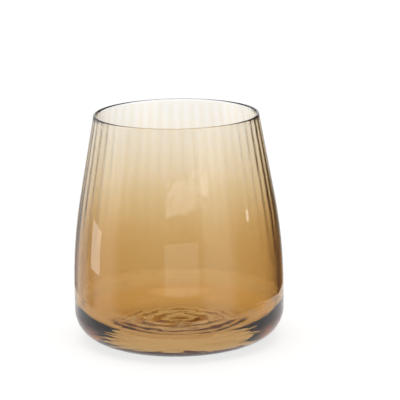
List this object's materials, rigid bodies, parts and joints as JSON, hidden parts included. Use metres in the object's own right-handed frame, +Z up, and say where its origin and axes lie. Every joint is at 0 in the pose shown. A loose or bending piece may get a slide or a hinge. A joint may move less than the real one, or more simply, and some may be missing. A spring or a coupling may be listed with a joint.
{
  "type": "glass vase",
  "caption": "Low hand blown glass vase with a wide mouth, an amber lining with optic ribs, a clear casing and a heavy clear base.",
  "frame": {"origin": "centre of the foot, on the surface that the vase stands on", "axes": "+Z up along the axis of the vessel, towards its mouth; X and Y are equivalent"},
  "size_m": [0.1092, 0.1092, 0.118],
  "materials": {
    "clear_glass": "clear, fire polished",
    "amber_glass": "transparent amber, fire polished, paler towards the lip"
  },
  "bodies": {
    "root": {"clear_casing": "clear_glass", "amber_layer": "amber_glass", "heavy_base": "clear_glass"}
  },
  "joints": []
}
